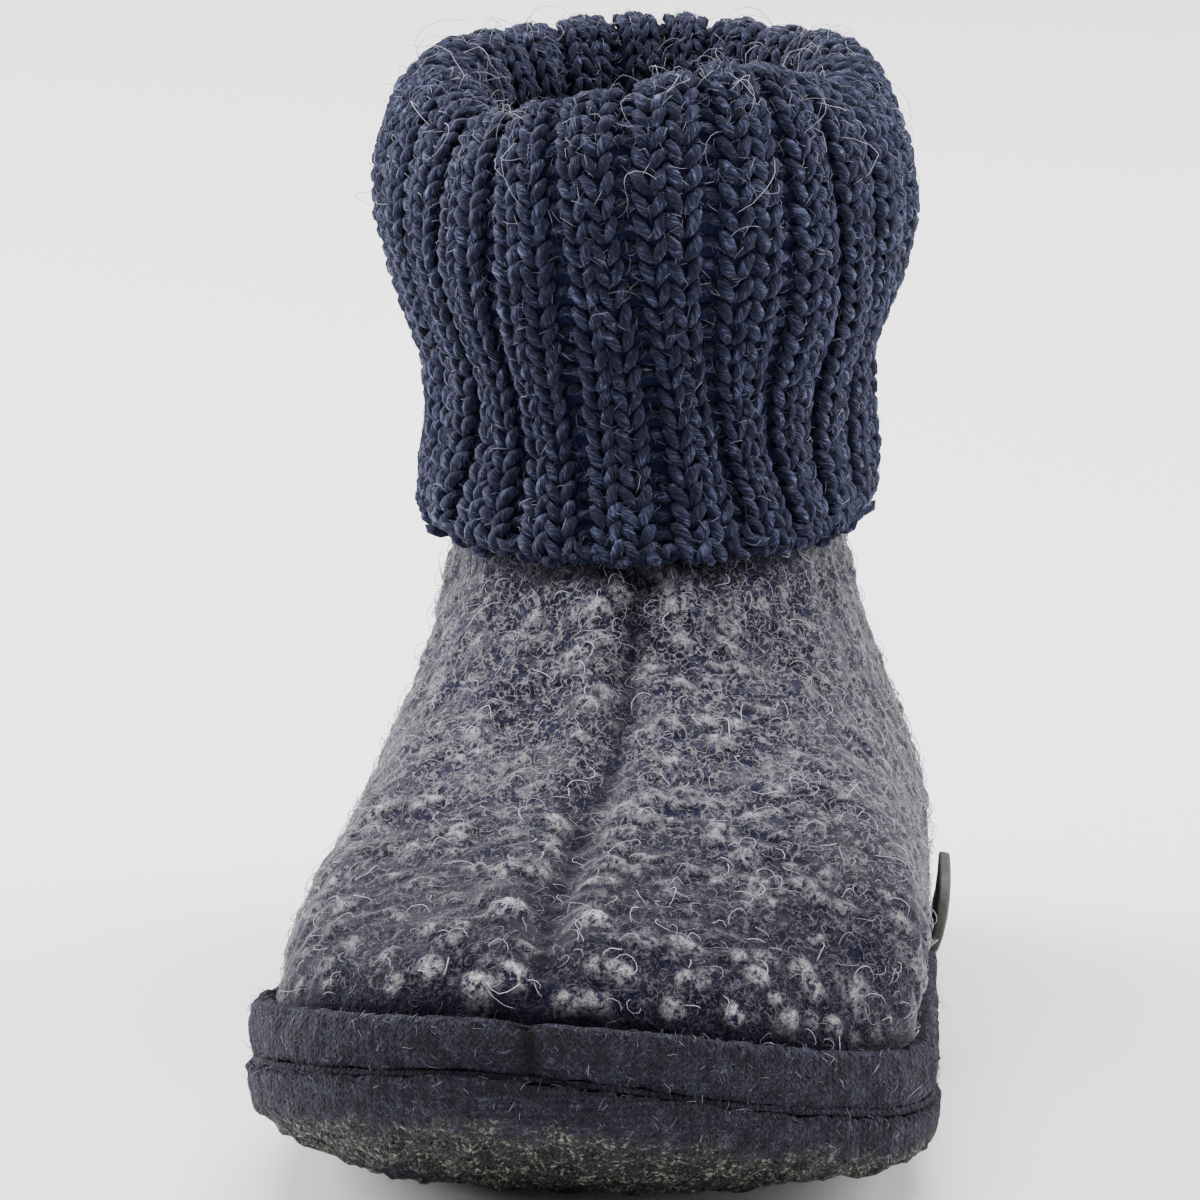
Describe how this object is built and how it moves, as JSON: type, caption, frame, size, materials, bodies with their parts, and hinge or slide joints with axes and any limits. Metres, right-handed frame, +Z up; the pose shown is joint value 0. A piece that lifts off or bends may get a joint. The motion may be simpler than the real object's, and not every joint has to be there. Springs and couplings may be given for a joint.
{
  "type": "child's wool slipper",
  "caption": "Ankle-high child's slipper of boiled wool with a folded rib-knit cuff, a knitted rand and a soft coated sole.",
  "frame": {"origin": "on the floor, under the middle of the heel seat", "axes": "+Z up, -Y towards the toe, +X towards the outer side of the left foot"},
  "size_m": [0.0685, 0.168, 0.0999],
  "materials": {
    "outsole": "matt, knit coated with latex",
    "rand": "fine dark knit",
    "insole": "wool felt",
    "upper": "mottled boiled wool",
    "cuff": "rib-knit wool",
    "side_tab": "bare, smooth"
  },
  "bodies": {
    "root": {"outsole": "outsole", "rand": "rand", "insole": "insole", "upper": "upper", "cuff": "cuff", "side_tab": "side_tab"}
  },
  "joints": []
}
